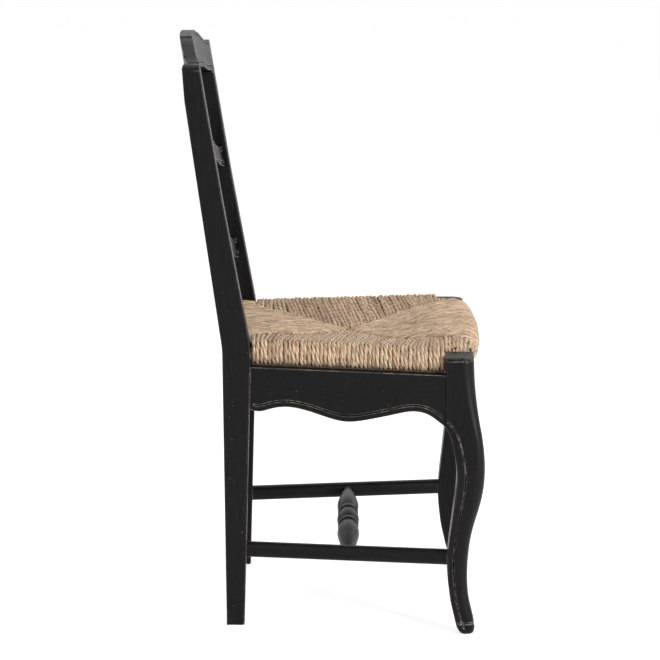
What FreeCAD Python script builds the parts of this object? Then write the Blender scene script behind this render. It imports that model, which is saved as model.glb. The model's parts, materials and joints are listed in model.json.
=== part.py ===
import FreeCAD, Part
import math
import os

os.makedirs("parts", exist_ok=True)

# Rush seat side chair. X is across the chair, the front faces -Y, Z is up.
# All lengths are millimetres. Heights are measured from the floor.
# Each piece is built on the +X side (the sitter's left) or on the centre line.

# overall driving sizes
post_height = 919.0          # floor to the top of the ears
crown_rise = 32.0            # top of the crest above the ears
front_width = 480.0          # over the front leg blocks
back_width = 366.0           # over the back posts
seat_frame_depth = 356.0     # block front face to back post front face
seat_level = 462.0           # top of the front leg blocks

# back posts
post_thickness = 28.0
post_depth_foot = 29.0
post_depth_seat = 46.0
post_depth_ear = 27.4
post_foot_setback = 13.0     # foot front face behind the face at seat level
post_ear_setback = 78.6      # ear front face behind the face at seat level
post_back_bow = 2.2          # gentle curve of the raked part
post_bend_radius = 170.0
post_bow_radius = 2400.0
ear_back_radius = 5.0
ear_shoulder_radius = 12.0
ear_back_length = 57.0       # part of the back edge that turns upright below the ear
ear_back_straighten = 3.6
post_arris_radius = 2.2

# front cabriole legs
block_size = 46.0
knee_projection = 21.5
block_corner_radius = 20.0
leg_corner_share = 0.42      # most of the leg's depth that the outer corner's rounding takes
leg_arris_radius = 3.0
leg_bead_width = 8.5
knee_bead_gain = 4.0
block_bead_height = 4.0      # the bead round the top of the block
foot_ring_height = 20.0      # the groove that sets off the toe
foot_ring_depth = 1.2

# grooves that set off the edge beads
groove_width = 2.4
groove_depth = 1.6

# aprons
apron_drop = 29.0            # top edge below the top of the leg blocks
apron_height = 82.6          # top edge to the lowest point of the scallop
apron_thickness = 20.0
apron_scallop = 21.8         # lowest point to highest point of the scallop
apron_inset = 1.0            # apron face behind the post and block faces
apron_arch_drop = 0.7        # foot of the arch below the lowest point of the scallop
apron_bead = 8.5
back_apron_height = 61.0
back_apron_arch = 14.0

# curved back rails
rail_bow = 13.5
crest_thickness = 20.5
crest_rake = 0.15            # backward run for each unit of height, a share
crest_height_centre = 57.0
crown_arch = 1.2
crown_share = 0.27           # half width of the crown's level part, of the half span
slat_thickness = 16.0
slat_rake = 0.17
slat_height = 32.0
slat_rise = 38.0             # centre of a slat above its ends
upper_slat_share = 0.606     # top edge at the posts, of the seat to ear height
lower_slat_share = 0.2615
upper_slat_setback = 8.5
lower_slat_setback = 13.0
rail_bead = 6.2
post_bead = 5.5

# seat frame inside the rush
rush_cord = 6.5
rush_roll = 39.7             # height of the side rolls at the front
rush_back_rise = 3.0         # side rolls at the back above those at the front
rush_corner_rise = 5.0       # panels above the rolls where the mitres start
rush_dip = 18.5              # depth of the dish at the centre
rush_inset = 8.0             # side roll behind the apron face
rush_front_overhang = 5.8    # front roll ahead of the leg blocks, at the blocks
rush_front_bow = 11.5        # and how much further it stands out at the middle
rush_block_drop = 10.5       # fall of the top from the mitre to the block
rush_block_round = 9.0
rush_front_mitre_share = 0.715  # half width of the front panel, of that to the block
rush_back_mitre_share = 0.742   # half width of the back panel, of that to the post
rush_seam = 4.0              # half length of the centre seam
seat_centre_share = 0.559    # block front to the centre of the seat, of the depth
rush_gap = 1.4               # rush to block and post faces
soft_clearance = 0.3         # rush to the rails inside it and to the aprons below
seat_rail_width = 32.0
seat_rail_thickness = 20.0
seat_rail_radius = 7.0
stuffing_gap = 5.0

# stretchers
stretcher_height = 126.0     # axis above the floor
side_stretcher_tall = 25.0
side_stretcher_wide = 21.0
side_stretcher_radius = 9.0
stretcher_leg_inset = 5.0    # axis inboard of the block axis
cross_bead_radius = 18.5
cross_vase_radius = 18.2
cross_ring_radius = 17.4
cross_neck_radius = 15.2
cross_tip_radius = 7.4
cross_bead_half = 22.0
cross_ring_start = 29.0
cross_ring_end = 44.0
cross_vase_start = 51.0
cross_vase_swell = 79.0

# joints
tenon_thickness = 8.0
tenon_depth = 15.0
apron_tenon_height = 46.0
slat_tenon_height = 20.0
crest_tenon_height = 30.0
seat_tenon_height = 10.0
seat_tenon_width = 11.0
peg_tenon_radius = 6.2
overrun = 30.0               # how far cutting shapes run past what they cut
merge_tolerance = 0.001      # faces nearer than this are taken as one where the nose is cut

# cabriole leg: height as a share of the leg below the aprons, then how far the
# front, rear, outer and inner faces move forward or outward as shares of the
# projection, and how much of the outer bulge reaches the corner next to the apron
leg_shares = [
    (1.0000, 0.71, 0.00, 0.50, 0.00, 0.00),
    (0.9432, 0.88, 0.44, 0.62, 0.26, 0.25),
    (0.8679, 0.99, 0.74, 0.69, 0.49, 0.50),
    (0.7992, 1.00, 0.90, 0.70, 0.60, 0.65),
    (0.7332, 0.93, 0.91, 0.65, 0.63, 0.72),
    (0.6645, 0.74, 0.79, 0.51, 0.58, 0.80),
    (0.5878, 0.40, 0.65, 0.28, 0.51, 0.90),
    (0.5020, 0.02, 0.49, 0.01, 0.45, 1.00),
    (0.4161, -0.21, 0.34, -0.21, 0.33, 1.00),
    (0.3303, -0.32, 0.28, -0.32, 0.28, 1.00),
    (0.2431, -0.32, 0.37, -0.32, 0.37, 1.00),
    (0.1744, -0.21, 0.51, -0.27, 0.45, 1.00),
    (0.1149, 0.00, 0.72, -0.20, 0.54, 1.00),
    (0.0568, 0.21, 0.94, -0.16, 0.60, 1.00),
    (0.0343, 0.25, 1.07, -0.17, 0.66, 1.00),
]
toe_shares = [
    (0.0343, 0.25, 1.07, -0.17, 0.66, 1.00),
    (0.0198, 0.22, 1.20, -0.22, 0.78, 1.00),
    (0.0079, 0.14, 1.36, -0.34, 0.94, 1.00),
    (0.0000, 0.00, 1.52, -0.62, 1.02, 1.00),
]
# the same from the foot of the apron's arch to the top of the block
block_shares = [
    (0.0000, 0.71, 0.00, 0.50, 0.00, 0.00),
    (0.1687, 0.52, 0.00, 0.36, 0.00, 0.00),
    (0.4280, 0.27, 0.00, 0.19, 0.00, 0.00),
    (0.6872, 0.10, 0.00, 0.07, 0.00, 0.00),
    (1.0000, 0.00, 0.00, 0.00, 0.00, 0.00),
]

# scalloped lower edge of the side apron, back to front: share of the length,
# then share of the scallop above its lowest point
side_scallop_shares = [
    (0.00, 0.57), (0.045, 0.48), (0.10, 0.70), (0.17, 0.90), (0.24, 0.84),
    (0.35, 0.45), (0.49, 0.00), (0.62, 0.27), (0.75, 0.74), (0.85, 1.00),
    (0.92, 0.76), (0.97, 0.28),
]
# the same for half of the front apron, centre to leg
front_scallop_shares = [
    (0.00, 0.00), (0.16, 0.14), (0.34, 0.50), (0.52, 0.84), (0.68, 1.00),
    (0.82, 0.80), (0.93, 0.32),
]
# crest: share of the run from the crown's end to the post, then share of the
# drop from crown to ear, which starts with the small step at the crown's end
crest_top_shares = [
    (0.00, 0.12), (0.18, 0.20), (0.35, 0.36), (0.49, 0.54), (0.62, 0.71),
    (0.735, 0.86), (0.91, 0.97), (1.00, 1.00),
]
# share of the half span, then share of the drop of the lower edge
crest_bottom_shares = [
    (0.00, 0.00), (0.20, 0.06), (0.37, 0.23), (0.55, 0.34), (0.68, 0.54),
    (0.79, 0.70), (0.90, 0.78), (0.97, 0.92), (1.00, 1.00),
]
crest_bottom_drop = 29.5
# slat: share of the half span, then share of the rise lost
slat_shares = [
    (0.00, 0.00), (0.22, 0.04), (0.40, 0.14), (0.55, 0.36), (0.68, 0.62),
    (0.80, 0.86), (0.90, 0.97), (1.00, 1.00),
]

# top of the rush between the centre and the front: share of the run from the
# centre to the block's rear face, share of the front panel's half width there,
# then share of the dip
rush_front_shares = [
    (0.16, 0.22, 0.99), (0.30, 0.40, 0.97), (0.56, 0.69, 0.78), (0.82, 0.83, 0.30),
    (1.00, 0.98, 0.03),
]
# the same to the back, as shares of the run to the post's front face and of the
# back panel's half width
rush_back_shares = [
    (0.20, 0.22, 0.93), (0.44, 0.47, 0.76), (0.70, 0.68, 0.43), (1.00, 0.90, 0.08),
]

# places worked out from the driving sizes
crown_height = post_height + crown_rise
ear_back_bend_height = post_height - ear_back_length
apron_top = seat_level - apron_drop
apron_bottom = apron_top - apron_height
apron_arch_foot = apron_bottom - apron_arch_drop
back_apron_bottom = apron_top - back_apron_height
upper_slat_top = seat_level + upper_slat_share * (post_height - seat_level)
lower_slat_top = seat_level + lower_slat_share * (post_height - seat_level)
rush_bottom = apron_top + soft_clearance
rush_crest = rush_bottom + rush_roll
rush_crest_back = rush_crest + rush_back_rise
rush_corner_crest = rush_crest + rush_corner_rise
rush_centre = rush_corner_crest - rush_dip
half_front = front_width / 2
half_back = back_width / 2
block_front = -seat_frame_depth / 2 - block_size
block_rear = block_front + block_size
post_front = block_front + seat_frame_depth
post_inner = half_back - post_thickness
block_inner = half_front - block_size
block_axis_x = half_front - block_size / 2
block_axis_y = block_front + block_size / 2
seat_centre = block_front + seat_centre_share * seat_frame_depth
rush_front_mitre = rush_front_mitre_share * block_inner
rush_back_mitre = rush_back_mitre_share * post_inner
crown_half_width = crown_share * post_inner
up = FreeCAD.Vector(0, 0, 1)


def vec(x, y, z):
    return FreeCAD.Vector(x, y, z)


# closed outline of straight runs with a rounded corner wherever a radius is given
def rounded_wire(points, radii):
    count = len(points)
    starts, ends, mids = [], [], []
    for i in range(count):
        corner, before, after = points[i], points[i - 1], points[(i + 1) % count]
        radius = radii[i]
        to_before = (before - corner).normalize()
        to_after = (after - corner).normalize()
        if radius == 0:
            starts.append(corner)
            ends.append(corner)
            mids.append(None)
            continue
        half_angle = to_before.getAngle(to_after) / 2
        reach = radius / math.tan(half_angle)
        bisector = (to_before + to_after).normalize()
        centre = corner + bisector * (radius / math.sin(half_angle))
        starts.append(corner + to_before * reach)
        ends.append(corner + to_after * reach)
        mids.append(centre - bisector * radius)
    edges = []
    for i in range(count):
        if mids[i] is not None:
            edges.append(Part.Arc(starts[i], mids[i], ends[i]).toShape())
        edges.append(Part.LineSegment(ends[i], starts[(i + 1) % count]).toShape())
    return Part.Wire(edges)


def spline(points):
    curve = Part.BSplineCurve()
    curve.interpolate(points)
    return curve.toShape()


def line(a, b):
    return Part.LineSegment(a, b).toShape()


def prism(edges, direction):
    wire = edges if isinstance(edges, Part.Wire) else Part.Wire(edges)
    return Part.Face(wire).extrude(direction)


def box(x_range, y_range, z_range):
    low = vec(min(x_range), min(y_range), min(z_range))
    size = [abs(r[1] - r[0]) for r in (x_range, y_range, z_range)]
    return Part.makeBox(size[0], size[1], size[2], low)


def mirrored(shape):
    return shape.mirror(vec(0, 0, 0), vec(1, 0, 0))


def moved(shape, x, y, z):
    copy = shape.copy()
    copy.translate(vec(x, y, z))
    return copy


# the same outline edges turned over about the centre plane
def both_halves(points):
    left = [vec(-p.x, p.y, p.z) for p in reversed(points) if p.x > 0]
    return left + points


# side profile of a back post, in the plane x
def post_profile(x):
    foot_front = post_front + post_foot_setback
    ear_front = post_front + post_ear_setback
    ear_back = ear_front + post_depth_ear
    seat_back = post_front + post_depth_seat
    mid_height = (seat_level + post_height) / 2
    mid_front = (post_front + ear_front) / 2 + post_back_bow
    bend_share = (ear_back_bend_height - seat_level) / (post_height - seat_level)
    bend_back = seat_back + (ear_back - seat_back) * bend_share + ear_back_straighten
    points = [
        vec(x, foot_front, 0), vec(x, post_front, seat_level),
        vec(x, mid_front, mid_height), vec(x, ear_front, post_height),
        vec(x, ear_back, post_height), vec(x, bend_back, ear_back_bend_height),
        vec(x, seat_back, seat_level), vec(x, foot_front + post_depth_foot, 0),
    ]
    radii = [0, post_bend_radius, post_bow_radius, 0, ear_back_radius,
             post_bend_radius, post_bend_radius, 0]
    return rounded_wire(points, radii)


# a post with eased arrises, a rounded outer shoulder at the ear and a bead on
# the front face beside the back rails
def back_post():
    body = prism(post_profile(post_inner), vec(post_thickness, 0, 0))
    arrises = [e for e in body.Edges
               if abs(e.BoundBox.XLength) < post_arris_radius
               and e.BoundBox.ZMin > -post_arris_radius
               and (e.BoundBox.ZLength > post_depth_foot
                    or e.BoundBox.ZMin > post_height - ear_back_radius - post_arris_radius)]
    body = body.makeFillet(post_arris_radius, arrises)
    depth = post_ear_setback + post_depth_seat + post_depth_ear + overrun
    outline = rounded_wire(
        [vec(post_inner - overrun, post_front - overrun, -overrun),
         vec(half_back, post_front - overrun, -overrun),
         vec(half_back, post_front - overrun, post_height),
         vec(post_inner - overrun, post_front - overrun, post_height)],
        [0, 0, ear_shoulder_radius, 0])
    body = body.common(prism(outline, vec(0, depth + overrun, 0)))
    strip = prism(post_profile(post_inner + post_bead), vec(groove_width, 0, 0))
    groove = strip.cut(moved(strip, 0, groove_depth, 0))
    keep = box((post_inner, half_back), (post_front - overrun, post_front + depth),
               (rush_corner_crest, post_height - crest_height_centre / 2))
    return body.cut(groove.common(keep))


# one level of the cabriole leg: a square whose faces move with the shares
def leg_section(row, z, beaded):
    front, rear, outer, inner, flare = row[1:]
    x_outer = half_front + outer * knee_projection
    x_flare = half_front + outer * knee_projection * flare
    x_inner = block_inner + inner * knee_projection
    y_front = block_front - front * knee_projection
    y_flare = block_front - front * knee_projection * flare
    y_rear = block_rear - rear * knee_projection
    rear_outer = vec(x_flare, y_rear, z)
    front_outer = vec(x_outer, y_front, z)
    front_inner = vec(x_inner, y_flare, z)
    rear_inner = vec(x_inner, y_rear, z)
    side_run = (front_outer - rear_outer).normalize()
    front_run = (front_outer - front_inner).normalize()
    corner_reach = min(block_corner_radius, leg_corner_share * (y_rear - y_front))
    corner_radius = corner_reach * math.tan(side_run.getAngle(front_run) / 2)
    small = leg_arris_radius
    if not beaded:
        return rounded_wire([rear_outer, front_outer, front_inner, rear_inner],
                            [small, corner_radius, small, small])
    bead = leg_bead_width + knee_bead_gain * max(0, front)
    into_side = vec(side_run.y, -side_run.x, 0)
    into_front = vec(-front_run.y, front_run.x, 0)
    points, radii = [rear_outer], [small]
    for step, sink in ((0, 0), (0.5, 1), (1, 0)):
        points.append(rear_outer + side_run * (bead + step * groove_width)
                      + into_side * (sink * groove_depth))
        radii.append(0)
    points.append(front_outer)
    radii.append(corner_radius)
    for step, sink in ((1, 0), (0.5, 1), (0, 0)):
        points.append(front_inner + front_run * (bead + step * groove_width)
                      + into_front * (sink * groove_depth))
        radii.append(0)
    points += [front_inner, rear_inner]
    radii += [small, small]
    return rounded_wire(points, radii)


# the groove that carries the apron's bead over the joint on to the leg, drawn
# on the side face; the front face has the same one turned about the diagonal
def joint_groove():
    row = block_shares[0]
    bead = leg_bead_width + knee_bead_gain * row[1]
    slant = row[3] * knee_projection / (block_size + row[1] * knee_projection)
    low = apron_arch_foot
    high = low + apron_bead * math.sqrt(2)

    def at(back, z):
        return vec(half_front - groove_depth + back * slant, block_rear - back, z)

    points = [at(-overrun, high + overrun), at(bead, low),
              at(bead + groove_width, low),
              at(-overrun, high + overrun + groove_width * math.sqrt(2))]
    return prism(rounded_wire(points, [0, 0, 0, 0]), vec(overrun, 0, 0))


def swapped_about_diagonal(shape):
    centre = vec(block_axis_x, block_axis_y, 0)
    return shape.mirror(centre, vec(1, 1, 0))


def front_leg():
    foot = apron_arch_foot
    rise = seat_level - foot
    shaft = Part.makeLoft([leg_section(row, row[0] * foot, True) for row in leg_shares],
                          True, False)
    toe = Part.makeLoft([leg_section(row, row[0] * foot, False) for row in toe_shares],
                        True, True)
    block = Part.makeLoft([leg_section(row, foot + row[0] * rise, False)
                           for row in block_shares], True, False)
    leg = shaft.fuse(toe).fuse(block)
    top_z = seat_level - block_bead_height
    ring = box((block_inner, half_front + overrun), (block_front - overrun, block_rear),
               (top_z - groove_width, top_z))
    core = rounded_wire(
        [vec(block_inner - overrun, block_rear + overrun, top_z - overrun),
         vec(half_front - groove_depth, block_rear + overrun, top_z - overrun),
         vec(half_front - groove_depth, block_front + groove_depth, top_z - overrun),
         vec(block_inner - overrun, block_front + groove_depth, top_z - overrun)],
        [0, 0, min(block_corner_radius, leg_corner_share * block_size) - groove_depth, 0])
    leg = leg.cut(ring.cut(prism(core, vec(0, 0, 2 * overrun))))
    groove = joint_groove().common(box(
        (block_inner, half_front + overrun), (block_front, block_rear),
        (foot, seat_level)))
    ring_row = min(leg_shares, key=lambda row: abs(row[0] * foot - foot_ring_height))
    foot_core = leg_section(ring_row, 0, False)
    foot_core = Part.Face(foot_core).makeOffset2D(-foot_ring_depth)
    slab = box((0, front_width), (-front_width, 0),
               (foot_ring_height - groove_width / 2, foot_ring_height + groove_width / 2))
    foot_ring = slab.cut(foot_core.extrude(vec(0, 0, seat_level)))
    return leg.cut(groove).cut(swapped_about_diagonal(groove)).cut(foot_ring)


# the curve through points, moved sideways in its own plane by a distance
def offset_points(points, distance, normal):
    curve = Part.BSplineCurve()
    curve.interpolate(points)
    first, last = curve.FirstParameter, curve.LastParameter
    samples = 2 * len(points)
    result = []
    for i in range(samples + 1):
        at = first + (last - first) * i / samples
        aside = normal.cross(curve.tangent(at)[0]).normalize()
        result.append(curve.value(at) + aside * distance)
    return result


# the strip between two parallels of a curve
def bead_strip(points, bead, normal):
    near = offset_points(points, bead, normal)
    far = offset_points(points, bead + groove_width, normal)
    return Part.Wire([spline(near), line(near[-1], far[-1]), spline(far), line(far[0], near[0])])


# straight board on edge: a top line, a shaped lower edge and a bead along it
def apron_board(start, along, length, lower, extra):
    outward = vec(along.y, -along.x, 0)
    first, last = lower[0], lower[-1]

    def place(distance, z):
        return start + along * distance + vec(0, 0, z)

    curve = [place(distance, z) for distance, z in lower]
    ends = [place(-extra, first[1]), place(-extra, apron_top),
            place(length + extra, apron_top), place(length + extra, last[1])]
    edges = [spline(curve)]
    if (curve[-1] - ends[3]).Length > groove_depth:
        edges.append(line(curve[-1], ends[3]))
    edges += [line(ends[3], ends[2]), line(ends[2], ends[1]), line(ends[1], ends[0])]
    if (curve[0] - ends[0]).Length > groove_depth:
        edges.append(line(ends[0], curve[0]))
    board = prism(edges, outward * -apron_thickness)
    strip = bead_strip(curve, apron_bead, outward)
    return board.cut(prism(strip, outward * -groove_depth))


def scallop(shares, length):
    points = [(share * length, apron_bottom + rise * apron_scallop) for share, rise in shares]
    return points + [(length, apron_arch_foot)]


def side_apron():
    back = vec(half_back - apron_inset, post_front, 0)
    front = vec(half_front - apron_inset, block_rear, 0)
    length = (front - back).Length
    along = (back - front).normalize()
    lower = [(length - d, z) for d, z in reversed(scallop(side_scallop_shares, length))]
    board = apron_board(front, along, length, lower, post_foot_setback)
    beyond = box((0, front_width), (block_rear, block_rear - overrun), (0, post_height))
    return board.cut(beyond)


def front_apron():
    half = [(share * block_inner, apron_bottom + rise * apron_scallop)
            for share, rise in front_scallop_shares] + [(block_inner, apron_arch_foot)]
    lower = [(block_inner - x, z) for x, z in reversed(half)]
    lower += [(block_inner + x, z) for x, z in half[1:]]
    start = vec(-block_inner, block_front + apron_inset, 0)
    return apron_board(start, vec(1, 0, 0), 2 * block_inner, lower, 0)


def back_apron():
    y = post_front + post_depth_seat / 2 - apron_thickness / 2
    arch = back_apron_bottom + back_apron_arch
    edges = [
        Part.Arc(vec(-post_inner, y, back_apron_bottom), vec(0, y, arch),
                 vec(post_inner, y, back_apron_bottom)).toShape(),
        line(vec(post_inner, y, back_apron_bottom), vec(post_inner, y, apron_top)),
        line(vec(post_inner, y, apron_top), vec(-post_inner, y, apron_top)),
        line(vec(-post_inner, y, apron_top), vec(-post_inner, y, back_apron_bottom)),
    ]
    return prism(edges, vec(0, apron_thickness, 0))


# front face of the posts at a height above the seat, on its two straight runs
def post_face(z):
    mid_height = (seat_level + post_height) / 2
    mid = post_ear_setback / 2 + post_back_bow
    if z < mid_height:
        return post_front + mid * (z - seat_level) / (mid_height - seat_level)
    run = (z - mid_height) / (post_height - mid_height)
    return post_front + mid + (post_ear_setback - mid) * run


# board bent to an arc in plan and leaning back with the posts
def bowed_board(face_y, at_height, low, high, rake, thickness):
    y = face_y - rake * (at_height - low)
    ends = [vec(-post_inner, y, low), vec(post_inner, y, low)]
    middle = vec(0, y + rail_bow, low)
    back = vec(0, thickness, 0)
    edges = [
        Part.Arc(ends[0], middle, ends[1]).toShape(),
        line(ends[1], ends[1] + back),
        Part.Arc(ends[1] + back, middle + back, ends[0] + back).toShape(),
        line(ends[0] + back, ends[0]),
    ]
    return prism(edges, vec(0, rake * (high - low), high - low))


# a bowed rail cut to its outline, with a bead along both long edges
def shaped_rail(upper, lower, board, edge_curves):
    reach = post_ear_setback + crest_thickness + rail_bow + overrun
    outline = Part.Wire(upper + lower)
    rail = board.common(prism(outline, vec(0, reach, 0)))
    skin = board.cut(moved(board, 0, groove_depth, 0))
    for points, side in edge_curves:
        strip = prism(bead_strip(points, rail_bead * side, vec(0, -1, 0)), vec(0, reach, 0))
        rail = rail.cut(strip.common(skin))
    return rail


def crest_rail():
    y = post_front
    drop = crown_height - post_height
    run = post_inner - crown_half_width
    fall = [vec(crown_half_width + share * run, y, crown_height - down * drop)
            for share, down in crest_top_shares]
    fall_left = [vec(-p.x, p.y, p.z) for p in reversed(fall)]
    crown_end = vec(crown_half_width, y, crown_height - crown_arch)
    crown_start = vec(-crown_half_width, y, crown_height - crown_arch)
    bottom_z = crown_height - crest_height_centre
    bottom = both_halves([vec(share * post_inner, y, bottom_z - down * crest_bottom_drop)
                          for share, down in crest_bottom_shares])
    upper = [
        spline(fall_left), line(fall_left[-1], crown_start),
        Part.Arc(crown_start, vec(0, y, crown_height), crown_end).toShape(),
        line(crown_end, fall[0]), spline(fall), line(fall[-1], bottom[-1]),
    ]
    lower = [spline(list(reversed(bottom))), line(bottom[0], fall_left[0])]
    low = bottom[0].z - groove_width
    face = post_front + post_ear_setback
    board = bowed_board(face, post_height, low, crown_height + groove_width, crest_rake,
                        crest_thickness)
    crown = [crown_start, vec(0, y, crown_height), crown_end]
    return shaped_rail(upper, lower, board,
                       [(fall, -1), (fall_left, -1), (crown, -1), (bottom, 1)])


def slat(top, setback):
    y = post_front
    upper = both_halves([vec(share * post_inner, y, top + slat_rise * (1 - lost))
                         for share, lost in slat_shares])
    lower = [vec(p.x, p.y, p.z - slat_height) for p in upper]
    outline_top = [spline(upper), line(upper[-1], lower[-1])]
    outline_bottom = [spline(list(reversed(lower))), line(lower[0], upper[0])]
    board = bowed_board(post_face(top) + setback, top, top - slat_height - groove_width,
                        top + slat_rise + groove_width, slat_rake, slat_thickness)
    return shaped_rail(outline_top, outline_bottom, board, [(upper, -1), (lower, 1)])


# bar of rounded section from one point to another
def rounded_bar(start, end, wide, tall, radius):
    run = (end - start).normalize()
    side = run.cross(up).normalize()
    corners = [start + side * (sx * wide / 2) + up * (sz * tall / 2)
               for sx, sz in ((-1, -1), (1, -1), (1, 1), (-1, 1))]
    return prism(rounded_wire(corners, [radius] * 4), end - start)


# side seat rail: parallel to the side apron, a little inboard of it
def side_rail_line():
    inset = apron_inset + rush_inset + rush_cord + seat_rail_width / 2
    z = rush_bottom + rush_cord + seat_rail_thickness / 2
    return vec(half_back - inset, post_front, z), vec(half_front - inset, block_rear, z)


def seat_rail_side(grow):
    back, front = side_rail_line()
    run = (front - back).normalize()
    bar = rounded_bar(back - run * seat_rail_width, front + run * seat_rail_width,
                      seat_rail_width + 2 * grow, seat_rail_thickness + 2 * grow,
                      seat_rail_radius + grow)
    return bar.common(box((0, front_width), (block_rear, post_front + groove_depth),
                          (0, post_height)))


# the front rail bows forward with the nose of the rush
def seat_rail_front(grow):
    y = rush_front_y() + rush_cord - grow
    z = rush_bottom + rush_cord - grow
    wide, tall = seat_rail_width + 2 * grow, seat_rail_thickness + 2 * grow
    corners = [vec(0, y, z), vec(0, y + wide, z), vec(0, y + wide, z + tall), vec(0, y, z + tall)]
    section = Part.Face(rounded_wire(corners, [seat_rail_radius + grow] * 4))
    centre, reach = bow_swing()
    section.rotate(centre, up, -reach)
    return section.revolve(centre, up, 2 * reach).common(box(
        (-block_inner, block_inner), (block_front - overrun, block_rear + overrun),
        (0, post_height)))


def seat_rail_back(grow):
    y = post_front + post_depth_seat / 2
    z = rush_bottom + rush_cord + seat_rail_thickness / 2
    return rounded_bar(vec(-post_inner, y, z), vec(post_inner, y, z),
                       seat_rail_width + 2 * grow, seat_rail_thickness + 2 * grow,
                       seat_rail_radius + grow)


# one lengthwise slice of the rush: flat below, rolled at both sides, with the
# two mitre points on top
def rush_section(y, side, mitre, crest):
    share = (y - block_rear) / (post_front - block_rear)
    roll_top = rush_crest + (rush_crest_back - rush_crest) * share
    roll = (roll_top - rush_bottom) / 2
    middle = rush_bottom + roll
    slope = roll * math.sqrt(0.5)

    def at(x, z):
        return vec(x, y, z)

    foot, top = side - roll, at(side - roll, roll_top)
    return Part.Wire([
        line(at(-foot, rush_bottom), at(foot, rush_bottom)),
        Part.Arc(at(foot, rush_bottom), at(foot + slope, middle - slope),
                 at(side, middle)).toShape(),
        Part.Arc(at(side, middle), at(foot + slope, middle + slope), top).toShape(),
        line(top, at(mitre, crest)),
        line(at(mitre, crest), at(-mitre, crest)),
        line(at(-mitre, crest), at(-foot, roll_top)),
        Part.Arc(at(-foot, roll_top), at(-foot - slope, middle + slope),
                 at(-side, middle)).toShape(),
        Part.Arc(at(-side, middle), at(-foot - slope, middle - slope),
                 at(-foot, rush_bottom)).toShape(),
    ])


def rush_front_y():
    return block_front - rush_front_overhang - rush_front_bow


def rush_back_y():
    return post_front + post_depth_seat / 2 + seat_rail_width / 2 + rush_cord


def rush_side_x(y):
    back = half_back - apron_inset - rush_inset
    front = half_front - apron_inset - rush_inset
    return back + (front - back) * (post_front - y) / (post_front - block_rear)


# the far centre that the bowed front is swung round, and the angle to each side
def bow_swing():
    radius = (block_inner ** 2 + rush_front_bow ** 2) / (2 * rush_front_bow)
    reach = math.degrees(math.asin(front_width / (radius - rush_back_y() + rush_front_y())))
    return vec(0, rush_front_y() + radius, 0), reach


# what the rush fills seen from the side: rounded noses front and back
def rush_nose_profile(x, front_y):
    roll = (rush_crest - rush_bottom) / 2
    back_y = rush_back_y()
    centre_z = rush_bottom + roll
    tall = rush_corner_crest - centre_z
    half = math.sqrt(0.5)
    return Part.Wire([
        line(vec(x, front_y + roll, rush_bottom), vec(x, back_y - roll, rush_bottom)),
        Part.Arc(vec(x, back_y - roll, rush_bottom),
                 vec(x, back_y - roll + roll * half, centre_z - roll * half),
                 vec(x, back_y, centre_z)).toShape(),
        Part.Arc(vec(x, back_y, centre_z),
                 vec(x, back_y - roll + roll * half, centre_z + tall * half),
                 vec(x, back_y - roll, rush_corner_crest)).toShape(),
        line(vec(x, back_y - roll, rush_corner_crest), vec(x, front_y + tall, rush_corner_crest)),
        Part.Arc(vec(x, front_y + tall, rush_corner_crest),
                 vec(x, front_y + tall - tall * half, centre_z + tall * half),
                 vec(x, front_y, centre_z)).toShape(),
        Part.Arc(vec(x, front_y, centre_z),
                 vec(x, front_y + roll - roll * half, centre_z - roll * half),
                 vec(x, front_y + roll, rush_bottom)).toShape(),
    ])


# the top falls from the front mitre to the block and rounds over beside it
def rush_block_fall(turn):
    inner = block_inner - rush_gap
    top = rush_corner_crest
    low = top - rush_block_drop
    y = block_rear + rush_gap
    points = [vec(turn * rush_front_mitre, y, top),
              vec(turn * inner, y, low),
              vec(turn * inner, y, rush_bottom - overrun),
              vec(turn * front_width, y, rush_bottom - overrun),
              vec(turn * front_width, y, top + overrun),
              vec(turn * rush_front_mitre, y, top + overrun)]
    return prism(rounded_wire(points, [0, rush_block_round, 0, 0, 0, 0]),
                 vec(0, -block_size - overrun - rush_front_bow, 0))


def rush_seat():
    roll = (rush_crest - rush_bottom) / 2
    front_y, back_y = rush_front_y(), rush_back_y()
    middle = seat_centre
    stations = [(front_y - roll, rush_front_mitre, rush_corner_crest),
                (front_y + rush_front_bow + roll, rush_front_mitre, rush_corner_crest)]
    stations += [(middle + run * (block_rear - middle), width * rush_front_mitre,
                  rush_corner_crest - dip * rush_dip)
                 for run, width, dip in reversed(rush_front_shares)]
    stations += [(middle - rush_seam, rush_seam, rush_centre),
                 (middle + rush_seam, rush_seam, rush_centre)]
    stations += [(middle + run * (post_front - middle), width * rush_back_mitre,
                  rush_corner_crest - dip * rush_dip)
                 for run, width, dip in rush_back_shares]
    stations += [(back_y - roll, rush_back_mitre, rush_corner_crest),
                 (back_y, rush_back_mitre, rush_corner_crest)]
    body = Part.makeLoft([rush_section(y, rush_side_x(y), mitre, crest)
                          for y, mitre, crest in stations], True, True)
    straight = rush_nose_profile(-front_width, front_y - 2 * overrun)
    body = body.common(prism(straight, vec(2 * front_width, 0, 0)))
    centre, reach = bow_swing()
    nose = Part.Face(rush_nose_profile(0, front_y))
    nose.rotate(centre, up, -reach)
    body = body.common([nose.revolve(centre, up, 2 * reach)], merge_tolerance)
    tall_range = (rush_bottom - overrun, rush_corner_crest + overrun)
    for turn in (1, -1):
        body = body.cut(rush_block_fall(turn))
        body = body.cut(box((turn * (post_inner - rush_gap), turn * front_width),
                            (post_front - rush_gap, back_y + overrun), tall_range))
    return body


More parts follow.
